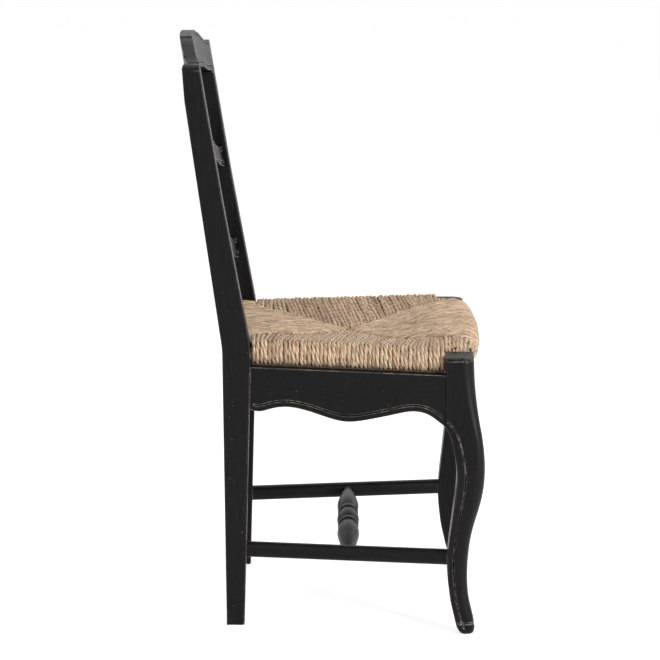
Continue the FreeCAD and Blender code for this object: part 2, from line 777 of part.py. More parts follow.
# waste rush packed between the upper and the lower layer, inside the rails
def seat_stuffing():
    back, front = side_rail_line()
    inner = seat_rail_width / 2 + stuffing_gap
    y_front = block_rear + stuffing_gap
    y_back = post_front + post_depth_seat / 2 - seat_rail_width / 2 - stuffing_gap
    slope = (front.x - back.x) / (back.y - front.y)
    x_front = back.x + slope * (back.y - y_front) - inner
    x_back = back.x + slope * (back.y - y_back) - inner
    z = rush_bottom + rush_cord
    corners = [vec(-x_front, y_front, z), vec(x_front, y_front, z),
               vec(x_back, y_back, z), vec(-x_back, y_back, z)]
    depth = rush_centre - rush_cord - z
    return prism(rounded_wire(corners, [stuffing_gap] * 4), vec(0, 0, depth))


def side_stretcher_line():
    low_share = 1 - stretcher_height / seat_level
    back = vec((post_inner + half_back) / 2, post_front + post_foot_setback * low_share,
               stretcher_height)
    front = vec(block_axis_x - stretcher_leg_inset, block_rear, stretcher_height)
    return back, front


def side_stretcher():
    back, front = side_stretcher_line()
    run = (front - back).normalize()
    reach = post_foot_setback
    return rounded_bar(back - run * reach, front + run * reach, side_stretcher_wide,
                       side_stretcher_tall, side_stretcher_radius)


# round tenon through both ends of a side stretcher
def stretcher_peg(leg_face_y):
    back, front = side_stretcher_line()
    run = (front - back).normalize()
    start = back - run * tenon_depth
    end = front + run * ((block_rear - leg_face_y) + tenon_depth)
    return Part.makeCylinder(peg_tenon_radius, (end - start).Length, start, run)


# turned cross stretcher: a centre bead, two rings and two long vases
def cross_stretcher():
    back, front = side_stretcher_line()
    y = seat_centre
    x_end = back.x + (front.x - back.x) * (back.y - y) / (back.y - front.y)
    inner_end = x_end - side_stretcher_wide / 2
    tip_end = inner_end + tenon_depth
    vase_run = inner_end - cross_vase_swell
    vase_drop = cross_vase_radius - cross_tip_radius
    vase_shares = [(0.36, 0.24), (0.60, 0.49), (0.82, 0.77), (1.00, 1.00)]

    def at(x, radius):
        return vec(x, y, stretcher_height + radius)

    bead_edge = cross_neck_radius
    vase = [at(cross_vase_start, cross_neck_radius),
            at((cross_vase_start + cross_vase_swell) / 2,
               (cross_neck_radius + 3 * cross_vase_radius) / 4),
            at(cross_vase_swell, cross_vase_radius)]
    vase += [at(cross_vase_swell + share * vase_run, cross_vase_radius - drop * vase_drop)
             for share, drop in vase_shares]
    half = [
        line(at(cross_bead_half, bead_edge), at(cross_ring_start, cross_neck_radius)),
        Part.Arc(at(cross_ring_start, cross_neck_radius),
                 at((cross_ring_start + cross_ring_end) / 2, cross_ring_radius),
                 at(cross_ring_end, cross_neck_radius)).toShape(),
        line(at(cross_ring_end, cross_neck_radius), vase[0]),
        spline(vase),
        line(vase[-1], at(inner_end, peg_tenon_radius)),
        line(at(inner_end, peg_tenon_radius), at(tip_end, peg_tenon_radius)),
        line(at(tip_end, peg_tenon_radius), at(tip_end, 0)),
    ]
    centre = Part.Arc(at(-cross_bead_half, bead_edge), at(0, cross_bead_radius),
                      at(cross_bead_half, bead_edge)).toShape()
    other = [mirrored(edge) for edge in half]
    axis = line(at(-tip_end, 0), at(tip_end, 0))
    wire = Part.Wire(Part.__sortEdges__([centre, axis] + half + other))
    return Part.Face(wire).revolve(vec(0, y, stretcher_height), vec(1, 0, 0), 360)


# straight tenon on the end of a rail, running out along X or along Y
def tenon(centre, size):
    return box((centre.x - size[0] / 2, centre.x + size[0] / 2),
               (centre.y - size[1] / 2, centre.y + size[1] / 2),
               (centre.z - size[2] / 2, centre.z + size[2] / 2))


post = back_post()
leg = front_leg()
crest = crest_rail()
upper = slat(upper_slat_top, upper_slat_setback)
lower = slat(lower_slat_top, lower_slat_setback)
apron_s = side_apron().cut(post).cut(leg)
apron_f = front_apron().cut(leg).cut(mirrored(leg))
apron_b = back_apron()
rail_s = seat_rail_side(0).cut(post)
rail_f = seat_rail_front(0)
rail_b = seat_rail_back(0)
stretcher = side_stretcher()

# rails tenoned into the inner face of the post
cross_reach = post_inner + tenon_depth / 2
rail_joints = [
    (post_face(post_height) + crest_thickness / 2
     - crest_rake * (crest_height_centre / 2),
     post_height - crest_height_centre / 2, crest_tenon_height),
    (post_face(upper_slat_top) + upper_slat_setback + slat_thickness / 2
     - slat_rake * slat_height / 2, upper_slat_top - slat_height / 2, slat_tenon_height),
    (post_face(lower_slat_top) + lower_slat_setback + slat_thickness / 2
     - slat_rake * slat_height / 2, lower_slat_top - slat_height / 2, slat_tenon_height),
    (post_front + post_depth_seat / 2, (apron_top + back_apron_bottom) / 2,
     apron_tenon_height),
]
joined = []
for rail, (y, z, tall) in zip([crest, upper, lower, apron_b], rail_joints):
    peg = tenon(vec(cross_reach, y, z), (tenon_depth, tenon_thickness, tall))
    post = post.cut(peg)
    joined.append(rail.fuse(peg).fuse(mirrored(peg)))
crest, upper, lower, apron_b = joined

rail_z = rush_bottom + rush_cord + seat_rail_thickness / 2
peg = tenon(vec(cross_reach, post_front + post_depth_seat / 2, rail_z),
            (tenon_depth, seat_tenon_width, seat_tenon_height))
post = post.cut(peg)
rail_b = rail_b.fuse(peg).fuse(mirrored(peg))

# side apron into the post and the leg
z = (apron_top + apron_bottom + apron_scallop) / 2
apron_x_back = half_back - apron_inset - apron_thickness / 2
apron_x_front = half_front - apron_inset - apron_thickness / 2
peg = tenon(vec(apron_x_back, post_front + tenon_depth / 2, z),
            (tenon_thickness, tenon_depth, apron_tenon_height))
apron_s = apron_s.fuse(peg)
post = post.cut(peg)
peg = tenon(vec(apron_x_front, block_rear - tenon_depth / 2, z),
            (tenon_thickness, tenon_depth, apron_tenon_height))
apron_s = apron_s.fuse(peg)
leg = leg.cut(peg)

# front apron and front seat rail into the legs
peg = tenon(vec(block_inner + tenon_depth / 2, block_front + apron_inset + apron_thickness / 2, z),
            (tenon_depth, tenon_thickness, apron_tenon_height))
apron_f = apron_f.fuse(peg).fuse(mirrored(peg))
leg = leg.cut(peg)
peg = tenon(vec(block_inner + tenon_depth / 2,
                rush_front_y() + rush_front_bow + rush_cord + seat_rail_width / 2, rail_z),
            (tenon_depth, seat_tenon_width, seat_tenon_height))
rail_f = rail_f.fuse(peg).fuse(mirrored(peg))
leg = leg.cut(peg)

# side seat rail into the post and the leg
back_line, front_line = side_rail_line()
peg = tenon(vec(post_inner + seat_tenon_width, post_front + tenon_depth / 2, rail_z),
            (seat_tenon_width, tenon_depth, seat_tenon_height))
rail_s = rail_s.fuse(peg)
post = post.cut(peg)
peg = tenon(vec(front_line.x, block_rear - tenon_depth / 2, rail_z),
            (seat_tenon_width, tenon_depth, seat_tenon_height))
rail_s = rail_s.fuse(peg)
leg = leg.cut(peg)

# stretchers
ankle = [row for row in leg_shares if row[0] * apron_arch_foot >= stretcher_height][-1]
peg = stretcher_peg(block_rear - ankle[2] * knee_projection)
stretcher = stretcher.cut(post).cut(leg).fuse(peg)
post = post.cut(peg)
leg = leg.cut(peg)
cross = cross_stretcher()
stretcher = stretcher.cut(cross)

# the rush closes round the rails and the stuffing
stuffing = seat_stuffing()
rush = rush_seat()
for grown in (seat_rail_front(soft_clearance), seat_rail_back(soft_clearance),
              seat_rail_side(soft_clearance), mirrored(seat_rail_side(soft_clearance))):
    rush = rush.cut(grown)
rush = rush.cut(stuffing)

centred = {
    "crest_rail": crest, "upper_slat": upper, "lower_slat": lower,
    "front_apron": apron_f, "back_apron": apron_b,
    "seat_rail_front": rail_f, "seat_rail_back": rail_b,
    "rush_seat": rush, "seat_stuffing": stuffing, "cross_stretcher": cross,
}
paired = {
    "back_post": post, "front_leg": leg, "side_apron": apron_s,
    "seat_rail": rail_s, "side_stretcher": stretcher,
}
shapes = dict(centred)
for name, shape in paired.items():
    shapes[name + "_left"] = shape
    shapes[name + "_right"] = mirrored(shape)

# the chair stands on the floor with its box centred over the origin
whole = Part.makeCompound(list(shapes.values())).optimalBoundingBox(False)
shift = -(whole.YMin + whole.YMax) / 2
for name, shape in shapes.items():
    placed = moved(shape, 0, shift, 0)
    print(name, placed.isValid(), len(placed.Solids), round(placed.Volume), len(placed.Faces))
    placed.exportStep("parts/" + name + ".step")
print("size", round(whole.XLength, 1), round(whole.YLength, 1), round(whole.ZLength, 1),
      "lowest", round(whole.ZMin, 3), "shift", round(shift, 2))
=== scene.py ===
import json
import math
import random

import bpy
import numpy as np
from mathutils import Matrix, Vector

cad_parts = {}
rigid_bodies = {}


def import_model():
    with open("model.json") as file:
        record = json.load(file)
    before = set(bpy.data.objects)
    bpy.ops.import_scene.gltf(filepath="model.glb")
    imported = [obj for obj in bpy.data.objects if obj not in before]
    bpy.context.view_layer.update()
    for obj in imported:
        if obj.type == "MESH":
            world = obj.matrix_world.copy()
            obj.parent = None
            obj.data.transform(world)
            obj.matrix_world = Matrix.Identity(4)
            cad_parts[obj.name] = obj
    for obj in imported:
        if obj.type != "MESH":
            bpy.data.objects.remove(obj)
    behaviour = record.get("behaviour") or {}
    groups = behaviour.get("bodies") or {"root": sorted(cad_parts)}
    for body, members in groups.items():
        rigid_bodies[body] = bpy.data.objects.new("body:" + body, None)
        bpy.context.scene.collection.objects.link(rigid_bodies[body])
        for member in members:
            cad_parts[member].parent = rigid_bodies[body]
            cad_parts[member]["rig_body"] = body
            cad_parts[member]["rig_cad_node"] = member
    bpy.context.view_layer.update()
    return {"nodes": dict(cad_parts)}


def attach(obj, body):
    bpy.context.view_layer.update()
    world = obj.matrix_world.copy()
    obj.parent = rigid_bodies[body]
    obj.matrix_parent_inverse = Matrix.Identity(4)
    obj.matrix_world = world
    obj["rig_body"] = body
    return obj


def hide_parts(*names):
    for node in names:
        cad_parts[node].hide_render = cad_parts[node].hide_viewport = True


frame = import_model()
nodes = frame["nodes"]
print("frame loaded:", len(nodes), "nodes")

mm = 0.001  # the chair is worked out in millimetres, Blender works in metres


def toLinear(hexColour):
    # an sRGB hex colour as the linear RGBA that the shader wants
    parts = [int(hexColour[i:i + 2], 16) / 255 for i in (1, 3, 5)]
    return [c / 12.92 if c <= 0.04045 else ((c + 0.055) / 1.055) ** 2.4 for c in parts] + [1.0]


def addNode(material, kind, inputs, stops=(), **settings):
    # a value in inputs is set on the socket, a socket of another node is linked to it;
    # stops are the places and colours of a colour ramp
    node = material.node_tree.nodes.new(kind)
    for name, value in settings.items():
        setattr(node, name, value)
    for name, value in inputs.items():
        if isinstance(value, bpy.types.NodeSocket):
            material.node_tree.links.new(value, node.inputs[name])
        else:
            node.inputs[name].default_value = value
    while stops and len(node.color_ramp.elements) < len(stops):
        node.color_ramp.elements.new(0.5)
    for i, (place, colour) in enumerate(stops):
        node.color_ramp.elements[i].position = place
        node.color_ramp.elements[i].color = toLinear(colour)
    return node


def newMaterial(name):
    material = bpy.data.materials.new(name)
    material.use_nodes = True
    material.node_tree.nodes.clear()
    return material


def deselectAll():
    if bpy.context.object and bpy.context.object.mode != "OBJECT":
        bpy.ops.object.mode_set(mode="OBJECT")
    bpy.ops.object.select_all(action="DESELECT")


def makeActive(thing):
    deselectAll()
    thing.select_set(True)
    bpy.context.view_layer.objects.active = thing


cameraSettings = {
    "place": (-4.615, -0.01167, 1.469),   # metres, seen from the sitter's right side
    "pitch": 0.2164,                      # radians down
    "yaw": 0.0030,                        # radians towards the back of the chair
    "lens": 154.8,                        # mm, on a sensor of this width
    "sensor": 36,
    "farthest": 60,                       # metres, past the edge of the floor
}


def makeCamera():
    pitch, yaw = cameraSettings["pitch"], cameraSettings["yaw"]
    forward = Vector((math.cos(pitch) * math.cos(yaw), math.cos(pitch) * math.sin(yaw),
                      -math.sin(pitch)))
    deselectAll()
    bpy.ops.object.camera_add(location=cameraSettings["place"])
    camera = bpy.context.object
    camera.name = "photoCamera"
    camera.rotation_euler = forward.to_track_quat("-Z", "Y").to_euler()
    camera.data.lens = cameraSettings["lens"]
    camera.data.sensor_width = cameraSettings["sensor"]
    camera.data.clip_end = cameraSettings["farthest"]
    bpy.context.scene.camera = camera


lampSettings = {
    # place and what it is aimed at, width in metres, watts
    "keySoftbox": ((-2.4, -2.4, 1.25), (0.0, 0.0, 0.5), 1.0, 92),
    "fillSoftbox": ((-3.0, 1.8, 2.2), (0.0, 0.0, 0.5), 2.0, 22),
    "topSoftbox": ((0.2, 0.2, 3.2), (0.0, 0.0, 0.4), 2.2, 24),
    "rimSoftbox": ((3.0, -2.0, 1.0), (0.0, 0.0, 0.6), 1.8, 8),
}


def makeLamps():
    for name, (place, aim, width, watts) in lampSettings.items():
        deselectAll()
        bpy.ops.object.light_add(type="AREA", location=place)
        lamp = bpy.context.object
        lamp.name = name
        lamp.data.shape = "SQUARE"
        lamp.data.size = width
        lamp.data.energy = watts
        lamp.visible_camera = False
        lamp.rotation_euler = (Vector(aim) - Vector(place)).to_track_quat("-Z", "Y").to_euler()


def whiteToCamera(material, surface, shade, isWorld):
    # what the camera, glossy and transmission rays see is white
    path = addNode(material, "ShaderNodeLightPath", {})
    seen = addNode(material, "ShaderNodeMath", {0: path.outputs["Is Camera Ray"],
                                               1: path.outputs["Is Glossy Ray"]},
                   operation="MAXIMUM")
    seen = addNode(material, "ShaderNodeMath", {0: seen.outputs[0],
                                               1: path.outputs["Is Transmission Ray"]},
                   operation="MAXIMUM")
    mix = addNode(material, "ShaderNodeMixShader", {0: seen.outputs[0], 1: surface, 2: shade})
    kind = "ShaderNodeOutputWorld" if isWorld else "ShaderNodeOutputMaterial"
    addNode(material, kind, {"Surface": mix.outputs[0]})


worldSettings = {"light": "#FFFFFF", "strength": 0.40}


def makeWorld():
    world = bpy.data.worlds.new("paleRoom")
    bpy.context.scene.world = world
    world.use_nodes = True
    world.node_tree.nodes.clear()
    light = addNode(world, "ShaderNodeBackground",
                    {"Color": toLinear(worldSettings["light"]),
                     "Strength": worldSettings["strength"]})
    white = addNode(world, "ShaderNodeBackground", {"Color": toLinear("#FFFFFF"), "Strength": 1.0})
    whiteToCamera(world, light.outputs[0], white.outputs[0], True)


floorSettings = {
    "half": 30.0,            # metres
    "colour": "#E9E9E9",     # what lights the chair from below
    "lift": 0.66,            # added for the camera, so that the shadow stays faint
}


def makeFloor():
    deselectAll()
    bpy.ops.mesh.primitive_plane_add(size=2 * floorSettings["half"], location=(0, 0, 0))
    floor = bpy.context.object
    floor.name = "paleFloor"
    material = newMaterial("paleStudioFloor")
    plain = addNode(material, "ShaderNodeBsdfDiffuse", {"Color": toLinear(floorSettings["colour"])})
    glow = addNode(material, "ShaderNodeEmission", {"Color": toLinear("#FFFFFF"),
                                                    "Strength": floorSettings["lift"]})
    lifted = addNode(material, "ShaderNodeAddShader", {0: plain.outputs[0], 1: glow.outputs[0]})
    whiteToCamera(material, plain.outputs[0], lifted.outputs[0], False)
    floor.data.materials.append(material)


bpy.context.scene.view_settings.view_transform = "Standard"
makeCamera()
makeLamps()
makeWorld()
makeFloor()
print("camera, lamps and floor made")


paint = {
    # black satin paint brushed over carved beech: a deep, slightly warm black that
    # picks up a soft grey sheen, rubbed through to pale wood and primer at the arrises
    "black": "#0A0A0A",
    "worn": "#242120",           # where the coat is thin along the brush lines
    # the paler grey along the arrises is thinner paint and also a painted highlight of the sheen on
    # the eased edges
    "thinnedAndHighlight": "#5E5650",        # rubbed thin, but not through, along the arrises
    "thinnedAndHighlightMost": 0.55,
    "rubbed": "#B39F92",
    # pale primer where the paint is rubbed through, pale enough to stand also as a painted
    # highlight on the beads
    "primerAndHighlight": "#E4DCD6",
    "roughness": 0.37,
    "smoother": 0.05,            # the brush lines vary from this much below it
    "rougher": 0.09,             # to this much above
    "ior": 1.50,
    "specular": 0.13,
    "relief": 0.07,              # mm that the brush lines stand up
    "patch": 42.0,               # mm between rubbed places
    "cloud": 70.0,               # mm between places with more of the brush lines
    # marks that run along a piece: mm along and across one, detail and roughness
    "brushLine": (42.0, 2.2, 3.0, 0.62),
    "nick": (9.0, 2.2, 2.0, 0.7),
    "prick": (4.0, 1.8, 1.0, 0.5),
    # the value of each pattern at which it starts to show and at which it shows fully
    "patchShows": (0.44, 0.60),
    "nickShows": (0.40, 0.54),
    "prickShows": (0.77, 0.84),
    "prickMost": 0.30,
    "brushShows": (0.46, 0.80),
    "arris": 1.9,                # mm of edge that hands and feet rub
    "arrisShows": (0.90, 0.68),  # by how much wood there is behind the surface
    "eased": 0.7,                # mm that sharp edges are eased by sanding
    # the grooves are dulled by occlusion, as painted shade
    "groove": 3.0,               # mm, width of the grooves that keep dull
    "grooveOpen": (0.40, 0.90),  # how open a place is where the sheen is least and full
    "grooveShadedSheen": 0.15,         # the share of the sheen that is left in them
    "jointY": -181.4,            # mm, where the side aprons meet the leg blocks
    "jointTop": 428.0,
    "jointFade": 4.0,
    "jointShows": (2.0, 3.5),    # mm from the joint
    "toeTop": 32.0,              # mm, the toes are chipped all round up to here
    "toeWorst": 0.6,             # and most below this share of it
}


def cellScale(along, across, axis):
    # the scale of a pattern whose cells are long along one axis, sizes in mm
    scale = [1 / (across * mm)] * 3
    scale["XYZ".index(axis)] = 1 / (along * mm)
    return scale


def makePaintedWood(name, axis, leastWear, mostWear):
    material = newMaterial(name)
    place = addNode(material, "ShaderNodeTexCoord", {}).outputs["Object"]
    marks = {}
    for mark in ("brushLine", "nick", "prick"):
        along, across, detail, roughness = paint[mark]
        cells = addNode(material, "ShaderNodeMapping",
                        {"Vector": place, "Scale": cellScale(along, across, axis)})
        noise = addNode(material, "ShaderNodeTexNoise",
                        {"Vector": cells.outputs[0], "Scale": 1.0, "Detail": detail,
                         "Roughness": roughness})
        marks[mark] = noise.outputs["Fac"]
    patches = addNode(material, "ShaderNodeTexNoise",
                      {"Vector": place, "Scale": 1 / (paint["patch"] * mm), "Detail": 3.0,
                       "Roughness": 0.6})
    clouds = addNode(material, "ShaderNodeTexNoise",
                     {"Vector": place, "Scale": 1 / (paint["cloud"] * mm), "Detail": 2.0})
    # an arris shows as a place where the wood behind the surface is thin
    eased = addNode(material, "ShaderNodeBevel", {"Radius": paint["eased"] * mm}, samples=6)
    thin = addNode(material, "ShaderNodeAmbientOcclusion", {"Distance": paint["arris"] * mm},
                   samples=8, inside=True, only_local=True)
    arris = addNode(material, "ShaderNodeMapRange",
                    {"Value": thin.outputs["AO"], "From Min": paint["arrisShows"][0],
                     "From Max": paint["arrisShows"][1]})
    # the flush joint of apron and leg block is painted over
    parts = addNode(material, "ShaderNodeSeparateXYZ", {"Vector": place})
    offJoint = addNode(material, "ShaderNodeMath", {0: parts.outputs["Y"],
                                                   1: paint["jointY"] * mm},
                       operation="SUBTRACT")
    offJoint = addNode(material, "ShaderNodeMath", {0: offJoint.outputs[0]},
                       operation="ABSOLUTE")
    beside = addNode(material, "ShaderNodeMapRange",
                     {"Value": offJoint.outputs[0], "From Min": paint["jointShows"][0] * mm,
                      "From Max": paint["jointShows"][1] * mm})
    above = addNode(material, "ShaderNodeMapRange",
                    {"Value": parts.outputs["Z"], "From Min": paint["jointTop"] * mm,
                     "From Max": (paint["jointTop"] + paint["jointFade"]) * mm})
    clear = addNode(material, "ShaderNodeMath", {0: beside.outputs[0], 1: above.outputs[0]},
                    operation="MAXIMUM")
    # how much of an arris is rubbed at a place: long soft patches broken by nicks
    spots = addNode(material, "ShaderNodeMapRange",
                    {"Value": patches.outputs["Fac"], "From Min": paint["patchShows"][0],
                     "From Max": paint["patchShows"][1], "To Min": leastWear,
                     "To Max": mostWear})
    toes = addNode(material, "ShaderNodeMapRange",
                   {"Value": parts.outputs["Z"], "From Min": paint["toeTop"] * mm,
                    "From Max": paint["toeWorst"] * paint["toeTop"] * mm})
    spots = addNode(material, "ShaderNodeMath", {0: spots.outputs[0], 1: toes.outputs[0]},
                    operation="MAXIMUM")
    chips = addNode(material, "ShaderNodeMapRange",
                    {"Value": marks["nick"], "From Min": paint["nickShows"][0],
                     "From Max": paint["nickShows"][1]})
    edge = addNode(material, "ShaderNodeMath", {0: arris.outputs[0], 1: clear.outputs[0]},
                   operation="MULTIPLY")
    rub = addNode(material, "ShaderNodeMath", {0: edge.outputs[0], 1: spots.outputs[0]},
                  operation="MULTIPLY")
    rub = addNode(material, "ShaderNodeMath", {0: rub.outputs[0], 1: chips.outputs[0]},
                  operation="MULTIPLY", use_clamp=True)
    # a few pinprick scratches on the flat faces
    pricks = addNode(material, "ShaderNodeMapRange",
                     {"Value": marks["prick"], "From Min": paint["prickShows"][0],
                      "From Max": paint["prickShows"][1], "To Min": 0.0,
                      "To Max": paint["prickMost"]})
    rub = addNode(material, "ShaderNodeMath", {0: rub.outputs[0], 1: pricks.outputs[0]},
                  operation="MAXIMUM", use_clamp=True)
    # paint: nearly one black, a little thinner along the brush lines
    streak = addNode(material, "ShaderNodeMapRange",
                     {"Value": marks["brushLine"], "From Min": paint["brushShows"][0],
                      "From Max": paint["brushShows"][1]})
    haze = addNode(material, "ShaderNodeMath", {0: streak.outputs[0], 1: clouds.outputs["Fac"]},
                   operation="MULTIPLY")
    coat = addNode(material, "ShaderNodeMix", {"Factor": haze.outputs[0],
                                              "A": toLinear(paint["black"]),
                                              "B": toLinear(paint["worn"])},
                   data_type="RGBA")
    # the arrises turn paler grey: worn thin paint, and a painted highlight along every eased edge
    thinningAndHighlight = addNode(material, "ShaderNodeMath", {0: edge.outputs[0],
                                                   1: paint["thinnedAndHighlightMost"]},
                       operation="MULTIPLY")
    coat = addNode(material, "ShaderNodeMix", {"Factor": thinningAndHighlight.outputs[0],
                                              "A": coat.outputs["Result"],
                                              "B": toLinear(paint["thinnedAndHighlight"])},
                   data_type="RGBA")
    bare = addNode(material, "ShaderNodeMix", {"Factor": marks["nick"],
                                              "A": toLinear(paint["rubbed"]),
                                              "B": toLinear(paint["primerAndHighlight"])},
                   data_type="RGBA")
    colour = addNode(material, "ShaderNodeMix", {"Factor": rub.outputs[0],
                                                "A": coat.outputs["Result"],
                                                "B": bare.outputs["Result"]},
                     data_type="RGBA")
    rough = addNode(material, "ShaderNodeMapRange",
                    {"Value": marks["brushLine"], "From Min": 0.3, "From Max": 0.7,
                     "To Min": paint["roughness"] - paint["smoother"],
                     "To Max": paint["roughness"] + paint["rougher"]})
    flat = addNode(material, "ShaderNodeNewGeometry", {}).outputs["Normal"]
    facing = addNode(material, "ShaderNodeMix", {"Factor": clear.outputs[0], "A": flat,
                                                "B": eased.outputs[0]}, data_type="VECTOR")
    bump = addNode(material, "ShaderNodeBump", {"Height": marks["brushLine"],
                                               "Normal": facing.outputs["Result"],
                                               "Distance": paint["relief"] * mm,
                                               "Strength": 1.0})
    # painted shade in the grooves: occlusion takes the sheen out there, where dust also gathers
    grooveShadeOpenness = addNode(material, "ShaderNodeAmbientOcclusion", {"Distance": paint["groove"] * mm},
                      samples=6)
    sheenWithGrooveShade = addNode(material, "ShaderNodeMapRange",
                    {"Value": grooveShadeOpenness.outputs["AO"], "From Min": paint["grooveOpen"][0],
                     "From Max": paint["grooveOpen"][1],
                     "To Min": paint["grooveShadedSheen"] * paint["specular"],
                     "To Max": paint["specular"]})
    sheenWithGrooveShade = addNode(material, "ShaderNodeMix", {"Factor": clear.outputs[0],
                                               "A": paint["specular"], "B": sheenWithGrooveShade.outputs[0]})
    surface = addNode(material, "ShaderNodeBsdfPrincipled",
                      {"Base Color": colour.outputs["Result"], "Roughness": rough.outputs[0],
                       "IOR": paint["ior"], "Specular IOR Level": sheenWithGrooveShade.outputs[0],
                       "Normal": bump.outputs[0]})
    addNode(material, "ShaderNodeOutputMaterial", {"Surface": surface.outputs[0]})
    return material


rawWood = {
    # plain planed beech of the seat rails, which the rush covers: pale, matt, fine flecks
    "colour": "#B8946A",
    "dark": "#8E6B45",
    "roughness": 0.62,
    "ior": 1.5,
    "fleck": (30.0, 2.0),        # mm along and across one
    "relief": 0.1,               # mm
}


def makeRawBeech():
    material = newMaterial("rawPlanedBeech")
    place = addNode(material, "ShaderNodeTexCoord", {}).outputs["Object"]
    cells = addNode(material, "ShaderNodeMapping",
                    {"Vector": place, "Scale": cellScale(*rawWood["fleck"], "X")})
    flecks = addNode(material, "ShaderNodeTexNoise",
                     {"Vector": cells.outputs[0], "Scale": 1.0, "Detail": 3.0})
    colour = addNode(material, "ShaderNodeValToRGB", {"Fac": flecks.outputs["Fac"]},
                     stops=[(0.3, rawWood["dark"]), (0.7, rawWood["colour"])])
    bump = addNode(material, "ShaderNodeBump", {"Height": flecks.outputs["Fac"],
                                               "Distance": rawWood["relief"] * mm})
    surface = addNode(material, "ShaderNodeBsdfPrincipled",
                      {"Base Color": colour.outputs["Color"], "Roughness": rawWood["roughness"],
                       "IOR": rawWood["ior"], "Normal": bump.outputs[0]})
    addNode(material, "ShaderNodeOutputMaterial", {"Surface": surface.outputs[0]})
    return material


# the run of the grain, and the least and most that the arrises are rubbed: the front legs
# most, so that their beads also carry painted highlights, the slats and aprons least
legPaint = makePaintedWood("blackSatinPaintLeg", "Z", 0.34, 0.95)
postPaint = makePaintedWood("blackSatinPaintPost", "Z", 0.06, 0.62)
acrossPaint = makePaintedWood("blackSatinPaintAcross", "X", 0.04, 0.40)
deepPaint = makePaintedWood("blackSatinPaintDeep", "Y", 0.04, 0.32)
rawBeech = makeRawBeech()

woodFinish = {
    "back_post_left": postPaint, "back_post_right": postPaint,
    "front_leg_left": legPaint, "front_leg_right": legPaint,
    "crest_rail": acrossPaint, "upper_slat": acrossPaint, "lower_slat": acrossPaint,
    "front_apron": acrossPaint, "back_apron": acrossPaint, "cross_stretcher": acrossPaint,
    "side_apron_left": deepPaint, "side_apron_right": deepPaint,
    "side_stretcher_left": deepPaint, "side_stretcher_right": deepPaint,
    "seat_rail_front": rawBeech, "seat_rail_back": rawBeech,
    "seat_rail_left": rawBeech, "seat_rail_right": rawBeech,
}


weldWithin = 0.01            # mm, corners of the CAD triangles that are one point
softUpTo = 32                # degrees, sharper edges stay crisp


def copyOfNode(nodeName, pieceName, material):
    # a copy of a CAD piece, welded into one mesh
    makeActive(nodes[nodeName])
    bpy.ops.object.duplicate()
    piece = bpy.context.object
    piece.name = pieceName
    bpy.ops.object.mode_set(mode="EDIT")
    bpy.ops.mesh.select_all(action="SELECT")
    bpy.ops.mesh.remove_doubles(threshold=weldWithin * mm)
    bpy.ops.object.mode_set(mode="OBJECT")
    piece.data.materials.clear()
    piece.data.materials.append(material)
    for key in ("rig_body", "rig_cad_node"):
        if key in piece:
            del piece[key]
    return piece


def smoothWood(name, material):
    # soft shading lets the curves read as carved
    piece = copyOfNode(name, name + "_wood", material)
    bpy.ops.object.shade_smooth_by_angle(angle=math.radians(softUpTo))
    bpy.ops.object.modifier_add(type="WEIGHTED_NORMAL")
    weighting = piece.modifiers[-1]
    weighting.mode = "FACE_AREA_WITH_ANGLE"
    weighting.keep_sharp = True
    bpy.ops.object.modifier_apply(modifier=weighting.name)
    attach(piece, "root")
    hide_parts(name)


for nodeName, finish in woodFinish.items():
    smoothWood(nodeName, finish)
print("wood finished")


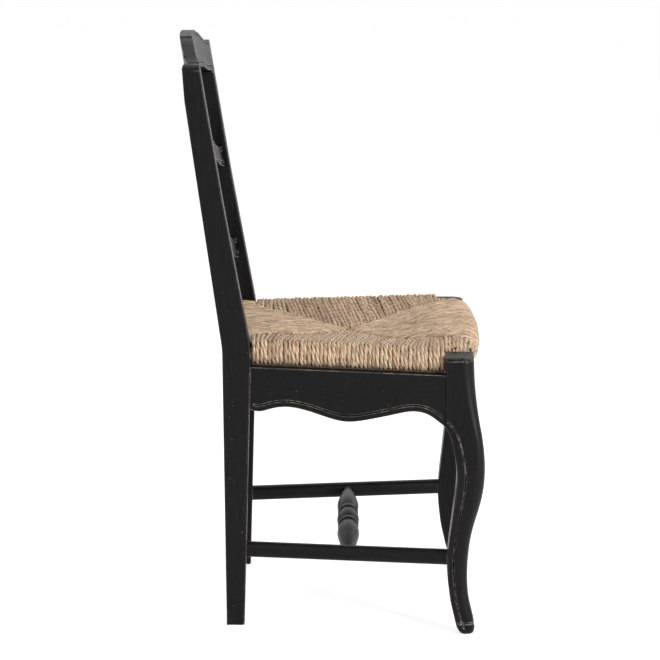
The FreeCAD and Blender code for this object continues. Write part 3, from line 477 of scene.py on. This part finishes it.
seat = {
    # all in mm, in the chair's own frame
    "cord": 3.5,              # how far in from the seat's surface a cord's centre line runs
    "bottom": 433.3,          # underside of the seat, on the aprons
    "rollFront": 473.0,       # top of the side rolls at the leg blocks
    "rollBack": 476.0,        # and at the back posts
    "blockRear": -181.4,      # the faces of the leg blocks that the rush meets
    "blockInner": 194.0,
    "postFront": 128.6,       # and of the back posts
    "postInner": 155.0,
    "sideFront": 231.0,       # the side roll at the blocks, out from the centre line
    "sideBack": 174.0,
    "noseFront": -244.7,      # the front at the centre line
    "noseBow": 11.5,
    "tuck": 6.8,              # how far the front's ends draw back
    "tuckFrom": 100.0,        # from this far out from the centre line
    "tuckOver": 90.0,         # over this length
    "tuckAhead": 45.0,        # and growing over this length ahead of the blocks' rear faces
    "noseTop": 24.8,          # radius of the nose's upper half
    "noseLow": 19.8,          # and of its lower half
    "noseCentre": 453.2,      # height of both their centres
    "backEdge": 174.1,
    "centre": -28.4,          # where the four panels meet
    "dish": 1.2,              # how far below the panel a side cord's run outwards starts
    "blockFall": 10.5,        # how far the front falls towards the blocks
    "blockGap": 0.7,          # room between the cords and the blocks' inner faces
    "postGap": 1.4,           # and the posts'
    "bearing": 13.0,          # the roll is full this far in, above the apron
    "ahead": -230.0,          # the front panel's end width is read here
    "behind": 130.0,          # and the back panel's here
    "beside": 165.0,          # the nose this far out stands for all of it beside a block
    "pointsApart": 9.0,       # along a front or back cord's run
    "mitreSteps": 90,         # in which its meeting with the mitre is looked for
    "sideCords": 48,
    "sideGap": 0.6,           # room between the outermost of them and the block or post
    "unevenBy": 0.7,          # most that one of them is laid out of line
    "frontCords": 41,
    "frontEnd": 2.5,          # room between the outermost of them and the mitre
    "pitch": 7.0,             # of the cords at the back and beside the blocks
    "noseAngles": (90, 70, 50, 30, 10),   # of the cords round the nose beside the blocks
    "sweep": 16.0,            # how far the cords lean forward at the near front mitre
    "sweepAt": -80.0,         # most here
    "sweepHalf": 62.0,        # and not at all this far to either side
    "sweepReach": 52.0,       # over this length outwards from the mitre
    "lean": 0.15,             # forward drift of the side cords for their run inwards
    "leanGrows": 55.0,        # over this length from the block and the post
    "frontDrawsIn": 0.50,     # the share by which the cords close up on their way to the centre
    "frontDrawsFrom": -190.0,
    "backDrawsIn": 0.42,
    "backDrawsFrom": 122.0,
    "postFall": 3.5,          # how far the back panel falls towards the posts
    "postFallOver": 34.0,
}
# how a side cord dips into the mitre: its place out from the mitre and its height over
# the panel, in mm
mitreDip = ((-4.0, -11.0), (-0.5, -6.5), (4.0, -4.0), (10.0, -2.0))
# half width of the front and back panels and height of the top there, by place
# from front to back
mitreTable = [
    (-250, 142, 478.0), (-211, 142, 478.0), (-181, 138, 478.0), (-166, 127, 475.4),
    (-151, 116, 473.0), (-131, 107, 468.4), (-111, 96, 464.6), (-91, 77, 462.2),
    (-71, 54, 460.6), (-51, 29, 459.8), (-36, 9, 459.5), (-28.4, 0, 459.5),
    (-16, 6, 460.0), (-1, 22, 461.0), (19, 44, 462.4), (39, 56, 464.6), (59, 68, 467.2),
    (79, 80, 470.0), (99, 91, 472.8), (119, 103, 475.4), (128, 109, 476.6), (180, 112, 478.0),
]


def mitreWidth(y):
    return float(np.interp(y, [r[0] for r in mitreTable], [r[1] for r in mitreTable]))


def panelHeight(y):
    return float(np.interp(y, [r[0] for r in mitreTable], [r[2] for r in mitreTable]))


def sideRun(y):
    share = (seat["postFront"] - y) / (seat["postFront"] - seat["blockRear"])
    return seat["sideBack"] + (seat["sideFront"] - seat["sideBack"]) * share


def rollTop(y):
    share = (y - seat["blockRear"]) / (seat["postFront"] - seat["blockRear"])
    return seat["rollFront"] + (seat["rollBack"] - seat["rollFront"]) * share


def noseY(x):
    return seat["noseFront"] + seat["noseBow"] * (x / seat["blockInner"]) ** 2


def noseTuck(x):
    # beside the leg blocks the front draws back to their faces
    return seat["tuck"] * max(0.0, (abs(x) - seat["tuckFrom"]) / seat["tuckOver"]) ** 2


def evenSteps(points, step):
    # the run through the points as a smooth line cut into equal steps
    points = np.array(points, float)
    lengths = np.concatenate([[0], np.cumsum(np.linalg.norm(np.diff(points, axis=0), axis=1))])
    count = max(6, int(round(lengths[-1] / step)))
    at = np.linspace(0, lengths[-1], count + 1)
    line = np.stack([np.interp(at, lengths, points[:, i]) for i in range(3)], axis=1)
    for _ in range(3):
        line[1:-1] = (line[:-2] + 2 * line[1:-1] + line[2:]) / 4
    return line


def arc(centre, radius, start, end, count):
    # points of an arc in a plane: angle from the horizontal, degrees
    angles = np.radians(np.linspace(start, end, count))
    return [(centre[0] + radius * math.cos(a), centre[1] + radius * math.sin(a)) for a in angles]


def sideCordPath(y, sign):
    r = seat["cord"]
    low = seat["bottom"] + r
    top = rollTop(y)
    roll = (top - seat["bottom"]) / 2
    middle = seat["bottom"] + roll
    side = sideRun(y)
    # a cord leaves the rail nearly square to it, so that it drifts forward on its way in
    drift = seat["lean"] * min(1.0, (y - seat["blockRear"]) / seat["leanGrows"],
                               (seat["postFront"] - y) / seat["leanGrows"])
    mitre = mitreWidth(y)     # where it then meets the mitre, found step by step
    for _ in range(6):
        mitre = (mitre + mitreWidth(y - drift * (side - roll - mitre))) / 2
    inner = y - drift * (side - roll - mitre)
    crest = panelHeight(inner) - r
    flat = [(mitre + out, crest + rise) for out, rise in mitreDip]
    crest -= seat["dish"]
    flat += [(x, crest + (top - r - crest) * (x - mitre - 10) / (side - roll - mitre - 10))
             for x in np.linspace(mitre + 17, side - roll, 6)]
    flat += arc((side - roll, middle), roll - r, 82, 0, 8)
    # the roll is full below, where it bears on the apron
    flat += [(side - seat["bearing"] + (seat["bearing"] - r) * math.cos(a),
              middle - (roll - r) * math.sin(a)) for a in np.radians(np.linspace(12, 90, 8))]
    flat += [(mitre + 8.0, low), (mitre + 1.0, low + 1.5), (mitre - 3.0, low + 8.0)]
    # ahead of the centre the near side's cords sweep forward into the mitre
    sweep = 0.0
    if sign < 0:
        share = max(0.0, 1 - abs(y - seat["sweepAt"]) / seat["sweepHalf"])
        sweep = seat["sweep"] * share ** 0.7

    def swept(x, z):
        near = max(0.0, 1 - (x - mitre) / seat["sweepReach"]) if z > middle else 0.0
        return y - drift * max(0.0, side - roll - x) - sweep * near ** 2
    return [(sign * x, swept(x, z), z) for x, z in flat]


def blockCordPath(upper, lower, sign):
    # beside a leg block the cords lie on the nose of the front and end at the block;
    # upper and lower are the y and z of the cord's upper and lower run
    r = seat["cord"]
    mitre = mitreWidth(seat["ahead"])
    inner = seat["blockInner"] - seat["blockGap"] - r
    (y, top), (lowY, low) = upper, lower
    middle = (top + low) / 2
    fall = min(seat["blockFall"], (top - low) * 0.55)
    end = top - fall
    flat = [(mitre - 4.0, top - min(9.0, (top - low) / 2)), (mitre - 1.0, top - 3.0),
            (mitre + 3.5, top - 0.4),
            (mitre + 16, top - 0.18 * fall), (mitre + 32, top - 0.55 * fall), (inner - 5, end),
            (inner - 1.2, end - 2.0), (inner, end - 6.0), (inner, (end + low) / 2),
            (inner - 1.0, low + 2.0), (inner - 6.0, low), (mitre + 6.0, low),
            (mitre - 3.0, low + 3.0)]
    ahead = min(1.0, (seat["blockRear"] - y) / seat["tuckAhead"])
    return [(sign * x, (y if z > middle else lowY) + ahead * noseTuck(x), z) for x, z in flat]


def frontCordPath(noseX):
    # runs from the mitre forward over the nose and back under the seat, and draws in
    # towards the centre line as it goes back
    r = seat["cord"]
    front = noseY(noseX) + noseTuck(noseX)
    arcCentre = front + seat["noseTop"]

    def drawnIn(y):
        start = seat["frontDrawsFrom"]
        share = min(1.0, max(0.0, (y - start) / (seat["centre"] - start)))
        return noseX * (1 - seat["frontDrawsIn"] * share ** 1.5)

    ys = np.linspace(arcCentre, seat["centre"], seat["mitreSteps"])
    inside = [y for y in ys if abs(drawnIn(y)) < mitreWidth(y) - 0.5]
    start = inside[-1] if inside else arcCentre
    line = [(drawnIn(start + 3.5), start + 3.5, panelHeight(start) - r - 9.0),
            (drawnIn(start + 0.5), start + 0.5, panelHeight(start) - r - 3.0)]
    count = max(3, int((start - arcCentre) / seat["pointsApart"]))
    for y in np.linspace(start - 3.5, arcCentre, count):
        line.append((drawnIn(y), y, panelHeight(y) - r))
    for y, z in arc((arcCentre, seat["noseCentre"]), seat["noseTop"] - r, 96, 180, 8):
        line.append((noseX, y, z))
    for y, z in arc((front + seat["noseLow"], seat["noseCentre"]),
                    seat["noseLow"] - r, 190, 270, 7):
        line.append((noseX, y, z))
    low = seat["bottom"] + r
    for y in np.linspace(front + seat["noseLow"] + 8, start - 3, 6):
        line.append((drawnIn(y), y, low))
    line.append((drawnIn(start), start + 2, low + 7))
    return line


def backCordPath(edgeX):
    r = seat["cord"]
    width = mitreWidth(seat["behind"])
    arcCentre = seat["backEdge"] - seat["noseTop"]

    def drawnIn(y):
        start = seat["backDrawsFrom"]
        share = min(1.0, max(0.0, (start - y) / (start - seat["centre"])))
        return edgeX * (1 - seat["backDrawsIn"] * share ** 1.5)

    # outside the mitre's corner the panel falls to the post
    past = max(0.0, (abs(edgeX) - width) / seat["postFallOver"])
    fall = seat["postFall"] * min(1.0, past) ** 0.8
    ys = np.linspace(arcCentre, seat["centre"], seat["mitreSteps"])
    inside = [y for y in ys if abs(drawnIn(y)) < mitreWidth(y) - 0.5]
    start = inside[-1] if abs(edgeX) < width and inside else seat["postFront"] - 2.0
    line = [(drawnIn(start - 3.5), start - 3.5, panelHeight(start) - r - 9.0 - fall),
            (drawnIn(start - 0.5), start - 0.5, panelHeight(start) - r - 3.0 - fall)]
    count = max(3, int((arcCentre - start) / seat["pointsApart"]))
    for y in np.linspace(start + 3.5, arcCentre, count):
        line.append((drawnIn(y), y, panelHeight(y) - r - fall))
    for y, z in arc((arcCentre, seat["noseCentre"]), seat["noseTop"] - r, 84, 0, 8):
        line.append((edgeX, y, z - fall * (z > seat["noseCentre"])))
    for y, z in arc((seat["backEdge"] - seat["noseLow"], seat["noseCentre"]),
                    seat["noseLow"] - r, -10, -90, 7):
        line.append((edgeX, y, z))
    low = seat["bottom"] + r
    for y in np.linspace(seat["backEdge"] - seat["noseLow"] - 8, start + 3, 6):
        line.append((drawnIn(y), y, low))
    line.append((drawnIn(start), start - 2, low + 7))
    return line


cordKinds = {
    # in mm: half the thickness over the plies, the depth of the dips between them as a share
    # of that, the run of one full twist, the step between points, and the sway of the cord
    "twisted": {"half": 3.75, "dip": 0.13, "lay": 50.0, "step": 2.9, "sway": 0.5},
    "packed": {"half": 3.75, "dip": 0.13, "lay": 50.0, "step": 2.9, "sway": 0.3},
    "soft": {"half": 4.0, "dip": 0.10, "lay": 110.0, "step": 3.6, "sway": 0.5},
}
plies = 3
cordSides = 12               # points round a cord, four for each ply
uneven = {
    # a hand-laid cord is never quite straight or even
    "waves": (17.0, 41.0, 90.0),      # lengths of the sway, in steps
    "upright": 0.5,                   # the share of the sway that goes up and down
    "settles": 6,                     # steps at each end in which the sway grows
    "phase": 6.28,                    # most that a wave or twist starts into its turn
    "thickness": (0.93, 1.07),
    "twist": (0.85, 1.2),             # longer or shorter lay
    "swell": 0.05,                    # the share by which a cord swells and narrows
    "swellRun": 11.0,                 # mm
    "cutFrom": 900,                   # mm, the place on the strand where a cord starts
}


def bendAside(line, rng, sway):
    count = len(line)
    steps = np.arange(count)
    for axis in range(3):
        wave = np.zeros(count)
        for length in uneven["waves"]:
            wave += (math.sqrt(length / uneven["waves"][-1])
                     * np.sin(steps * 2 * math.pi / length + rng.uniform(0, uneven["phase"])))
        ease = np.minimum(1.0, np.minimum(steps, count - 1 - steps) / uneven["settles"])
        line[:, axis] += wave * ease * sway * (uneven["upright"] if axis == 2 else 1.0)
    return line


def plyOutline(name, half, dip):
    # closed outline of a cord: three plies with dips between them
    curve = bpy.data.curves.new(name, "CURVE")
    curve.dimensions = "2D"
    outline = curve.splines.new("POLY")
    outline.points.add(cordSides - 1)
    for i, point in enumerate(outline.points):
        angle = 2 * math.pi * i / cordSides
        reach = 1 - dip + dip * math.cos(plies * angle)
        point.co = (math.cos(angle) * reach * half * mm, math.sin(angle) * reach * half * mm, 0, 1)
    outline.use_cyclic_u = True
    outlined = bpy.data.objects.new(name, curve)
    bpy.context.scene.collection.objects.link(outlined)
    return outlined


def markCords(mesh, counts, tints, runs):
    # for the rush's material: the place on the cord in mm, round it and along it, the depth
    # in the dip between plies, and one tint for each cord
    total = sum(counts) * cordSides
    steps = np.arange(cordSides)
    place = np.zeros((total, 3), np.float32)
    tint = np.zeros(total, np.float32)
    dip = np.tile(0.5 - 0.5 * np.cos(2 * plies * math.pi * steps / cordSides),
                  sum(counts)).astype(np.float32)
    angles = 2 * math.pi * steps / cordSides
    at = 0
    for count, shade, run in zip(counts, tints, runs):
        block = slice(at, at + count * cordSides)
        place[block, 0] = np.tile(np.cos(angles) * seat["cord"], count)
        place[block, 1] = np.tile(np.sin(angles) * seat["cord"], count)
        place[block, 2] = np.repeat(run, cordSides)
        tint[block] = shade
        at += count * cordSides
    mesh.attributes.new("cordPlace", "FLOAT_VECTOR", "POINT").data.foreach_set(
        "vector", place.ravel())
    mesh.attributes.new("cordTint", "FLOAT", "POINT").data.foreach_set("value", tint)
    mesh.attributes.new("cordDip", "FLOAT", "POINT").data.foreach_set("value", dip)


def layCords(name, paths, kindName, seed, material):
    rng = random.Random(seed)
    kind = cordKinds[kindName]
    outline = plyOutline(name + "_outline", kind["half"], kind["dip"])
    curve = bpy.data.curves.new(name, "CURVE")
    curve.dimensions = "3D"
    curve.twist_mode = "MINIMUM"
    curve.bevel_mode = "OBJECT"
    curve.bevel_object = outline
    counts, tints, runs = [], [], []
    for path in paths:
        line = bendAside(evenSteps(path, kind["step"]), rng, kind["sway"])
        spline = curve.splines.new("POLY")
        spline.points.add(len(line) - 1)
        spline.points.foreach_set("co", np.concatenate(
            [line * mm, np.ones((len(line), 1))], axis=1).ravel())
        start = rng.uniform(0, uneven["phase"])
        thick = rng.uniform(*uneven["thickness"])
        swell = rng.uniform(0, uneven["phase"])
        run = np.arange(len(line)) * kind["step"]
        lay = kind["lay"] * rng.uniform(*uneven["twist"])
        for i, point in enumerate(spline.points):
            point.tilt = start - run[i] * 2 * math.pi / lay
            point.radius = thick * (1 + uneven["swell"]
                                    * math.sin(run[i] / uneven["swellRun"] + swell))
        counts.append(len(line))
        tints.append(rng.random())
        runs.append(run + rng.uniform(0, uneven["cutFrom"]))
    piece = bpy.data.objects.new(name, curve)
    bpy.context.scene.collection.objects.link(piece)
    makeActive(piece)
    bpy.ops.object.convert(target="MESH")
    piece = bpy.context.object
    bpy.data.objects.remove(outline)
    print(name, "cords", len(counts), "triangles", 2 * len(piece.data.polygons))
    markCords(piece.data, counts, tints, runs)
    bpy.ops.object.shade_smooth()
    piece.data.materials.clear()
    piece.data.materials.append(material)
    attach(piece, "root")
    return piece


rushLook = {
    # dried sea rush twisted into cord: pale tan skin with pinkish, straw and greenish
    # stems and dark brown flecks where the stems turn in, matt with a faint waxy sheen
    "stems": [(0.30, "#9C9278"), (0.42, "#BC9D7C"), (0.52, "#DCC2A3"), (0.62, "#C0937F"),
              (0.74, "#DCC2A3")],     # green, tan, pale, pink and pale again along a strand
    "cords": [(0.0, "#7E644B"), (0.12, "#AE8F70"), (0.35, "#CBB08F"), (0.65, "#DBC6AA"),
              (0.85, "#BFA184"), (1.0, "#99896F")],     # from one cord to another
    "cordShare": 0.42,
    # brown of the flecks, also the colour of the painted shade in the dips between plies
    "brown": "#4A3626",
    "roughness": 0.62,
    "smoother": 0.08,                 # the fibres vary from this much below it
    "rougher": 0.12,                  # to this much above
    "ior": 1.45,
    "fibre": (26.0, 0.9),             # mm along and across one
    "fibreShades": (0.52, 1.14),
    "fibreRelief": 0.35,              # mm
    "stemCells": (0.35, 0.35, 0.028),     # in each mm, round the cord and along it
    "fleckCells": (0.75, 0.75, 0.11),
    "fleckShows": (0.66, 0.71),
    "fleckMost": 0.8,
    # where the painted shade in the dips between plies starts
    "plyShadeFrom": 0.60,
}


def makeRush(name, brownShare, plyShadeDepth, brightness):
    material = newMaterial(name)
    marks = {}
    for mark, kind in (("cordPlace", "Vector"), ("cordTint", "Fac"), ("cordDip", "Fac")):
        marks[mark] = addNode(material, "ShaderNodeAttribute", {}, attribute_name=mark,
                              attribute_type="GEOMETRY").outputs[kind]
    place = marks["cordPlace"]
    along, across = rushLook["fibre"]
    fibreCells = addNode(material, "ShaderNodeMapping",
                         {"Vector": place, "Scale": (1 / across, 1 / across, 1 / along)})
    fibres = addNode(material, "ShaderNodeTexNoise",
                     {"Vector": fibreCells.outputs[0], "Scale": 1.0, "Detail": 2.0,
                      "Roughness": 0.6})
    stemCells = addNode(material, "ShaderNodeMapping",
                        {"Vector": place, "Scale": rushLook["stemCells"]})
    shifted = addNode(material, "ShaderNodeVectorMath",
                      {0: stemCells.outputs[0], 1: marks["cordTint"]}, operation="ADD")
    stems = addNode(material, "ShaderNodeTexNoise",
                    {"Vector": shifted.outputs[0], "Scale": 1.0, "Detail": 2.0, "Roughness": 0.65})
    fleckCells = addNode(material, "ShaderNodeMapping",
                         {"Vector": place, "Scale": rushLook["fleckCells"]})
    flecks = addNode(material, "ShaderNodeTexNoise",
                     {"Vector": fleckCells.outputs[0], "Scale": 1.0, "Detail": 3.0,
                      "Roughness": 0.6})
    stemShade = addNode(material, "ShaderNodeValToRGB", {"Fac": stems.outputs["Fac"]},
                        stops=rushLook["stems"])
    cordShade = addNode(material, "ShaderNodeValToRGB", {"Fac": marks["cordTint"]},
                        stops=rushLook["cords"])
    colour = addNode(material, "ShaderNodeMix", {"Factor": rushLook["cordShare"],
                                                "A": stemShade.outputs["Color"],
                                                "B": cordShade.outputs["Color"]},
                     data_type="RGBA")
    darkest, palest = rushLook["fibreShades"]
    fine = addNode(material, "ShaderNodeMapRange",
                   {"Value": fibres.outputs["Fac"], "From Min": 0.3, "From Max": 0.7,
                    "To Min": darkest * brightness, "To Max": palest * brightness})
    colour = addNode(material, "ShaderNodeMix", {"Factor": 1.0, "A": colour.outputs["Result"],
                                                "B": fine.outputs[0]},
                     data_type="RGBA", blend_type="MULTIPLY")
    dark = addNode(material, "ShaderNodeMapRange",
                   {"Value": flecks.outputs["Fac"],
                    "From Min": rushLook["fleckShows"][0] - brownShare,
                    "From Max": rushLook["fleckShows"][1] - brownShare})
    dark = addNode(material, "ShaderNodeMath", {0: dark.outputs[0], 1: rushLook["fleckMost"]},
                   operation="MULTIPLY", use_clamp=True)
    # painted shade: a cord is darkest in the dips between its plies
    dip = addNode(material, "ShaderNodeMapRange",
                  {"Value": marks["cordDip"], "From Min": rushLook["plyShadeFrom"], "From Max": 1.0,
                   "To Min": 0.0, "To Max": plyShadeDepth})
    dark = addNode(material, "ShaderNodeMath", {0: dark.outputs[0], 1: dip.outputs[0]},
                   operation="MAXIMUM", use_clamp=True)
    colour = addNode(material, "ShaderNodeMix", {"Factor": dark.outputs[0],
                                                "A": colour.outputs["Result"],
                                                "B": toLinear(rushLook["brown"])},
                     data_type="RGBA")
    rough = addNode(material, "ShaderNodeMapRange",
                    {"Value": fibres.outputs["Fac"], "From Min": 0.3, "From Max": 0.7,
                     "To Min": rushLook["roughness"] - rushLook["smoother"],
                     "To Max": rushLook["roughness"] + rushLook["rougher"]})
    bump = addNode(material, "ShaderNodeBump", {"Height": fibres.outputs["Fac"],
                                               "Distance": rushLook["fibreRelief"] * mm,
                                               "Strength": 0.8})
    surface = addNode(material, "ShaderNodeBsdfPrincipled",
                      {"Base Color": colour.outputs["Result"], "Roughness": rough.outputs[0],
                       "IOR": rushLook["ior"], "Normal": bump.outputs[0]})
    addNode(material, "ShaderNodeOutputMaterial", {"Surface": surface.outputs[0]})
    return material


# the share of brown flecks, the painted shade in the dips between plies, and the brightness
twistedRush = makeRush("twistedSeaRush", 0.115, 0.75, 1.32)
smoothRush = makeRush("smoothSeaRush", 0.09, 0.50, 1.15)
# a copy of the rush darkened to painted shade, for the inner layer and the packing cords
shadedRush = makeRush("shadedInnerRush", 0.05, 0.0, 0.13)

# cords laid lengthwise, in the shade, pack the joint between a side roll and its apron and are
# coloured as painted shade: how far in from the roll's side and how far above the apron each lies,
# in mm
packing = ((11.0, 1.0), (16.5, 1.0), (22.0, 1.0), (27.5, 1.0), (19.0, 6.8))
firstCord = seat["blockRear"] + seat["cord"] + seat["sideGap"]
lastCord = seat["postFront"] - seat["cord"] - seat["sideGap"]


def sidePaths(sign, rng):
    paths = [sideCordPath(y + rng.uniform(-seat["unevenBy"], seat["unevenBy"]), sign)
             for y in np.linspace(firstCord, lastCord, seat["sideCords"])]
    radius = seat["cord"]
    nose = noseY(seat["beside"])
    y = firstCord - seat["pitch"]
    while y > nose + seat["noseTop"]:
        paths.append(blockCordPath((y, panelHeight(y) - radius), (y, seat["bottom"] + radius),
                                   sign))
        y -= seat["pitch"]
    topReach, lowReach = seat["noseTop"] - radius, seat["noseLow"] - radius
    for angle in np.radians(seat["noseAngles"]):
        over, back = math.sin(angle), 1 - math.cos(angle)
        upper = (nose + radius + topReach * back, seat["noseCentre"] + topReach * over)
        lower = (nose + radius + lowReach * back, seat["noseCentre"] - lowReach * over)
        paths.append(blockCordPath(upper, lower, sign))
    return paths


def packingPaths(sign):
    return [[(sign * (sideRun(y) - inset), y, seat["bottom"] + rise)
             for y in (firstCord - 2, (firstCord + lastCord) / 2, lastCord + 2)]
            for inset, rise in packing]


frontReach = mitreWidth(seat["ahead"]) - seat["frontEnd"]
backReach = seat["postInner"] - seat["postGap"] - seat["cord"]
backCords = int(2 * backReach / seat["pitch"])
rushPieces = [
    layCords("rush_side_left", sidePaths(1, random.Random(11)), "twisted", 11, twistedRush),
    layCords("rush_side_right", sidePaths(-1, random.Random(23)), "twisted", 23, twistedRush),
    layCords("rush_packing", packingPaths(1) + packingPaths(-1), "packed", 5, shadedRush),
    layCords("rush_front", [frontCordPath(x) for x in np.linspace(-frontReach, frontReach,
                                                                  seat["frontCords"])],
             "soft", 37, smoothRush),
    layCords("rush_back", [backCordPath(x) for x in np.linspace(-backReach, backReach,
                                                                backCords)],
             "soft", 41, smoothRush),
]

bedSettings = {
    "depth": 7.5,            # mm below the seat's surface
    "lookFrom": 0.1,         # mm off a face, where the look into the hollow starts
}


def makeBed():
    # the inner layer of rush that shows between the cords, coloured dark as painted shade
    bed = copyOfNode("rush_seat", "rush_bed", shadedRush)
    bpy.ops.object.mode_set(mode="EDIT")
    bpy.ops.mesh.select_all(action="DESELECT")
    bpy.ops.mesh.select_mode(type="FACE")
    bpy.ops.object.mode_set(mode="OBJECT")
    # only its outside is wanted: a face that looks into the hollow for the rails sees the
    # far wall
    for face in bed.data.polygons:
        start = face.center + face.normal * bedSettings["lookFrom"] * mm
        face.select = bed.ray_cast(start, face.normal)[0]
    print("inner faces of the rush", sum(face.select for face in bed.data.polygons), "of",
          len(bed.data.polygons))
    bpy.ops.object.mode_set(mode="EDIT")
    bpy.ops.mesh.delete(type="FACE")
    bpy.ops.mesh.select_all(action="SELECT")
    bpy.ops.transform.shrink_fatten(value=-bedSettings["depth"] * mm, use_even_offset=True)
    bpy.ops.object.mode_set(mode="OBJECT")
    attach(bed, "root")
    return bed


bed = makeBed()
for piece in rushPieces + [bed]:
    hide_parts("rush_seat")
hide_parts("seat_stuffing")
print("rush laid")
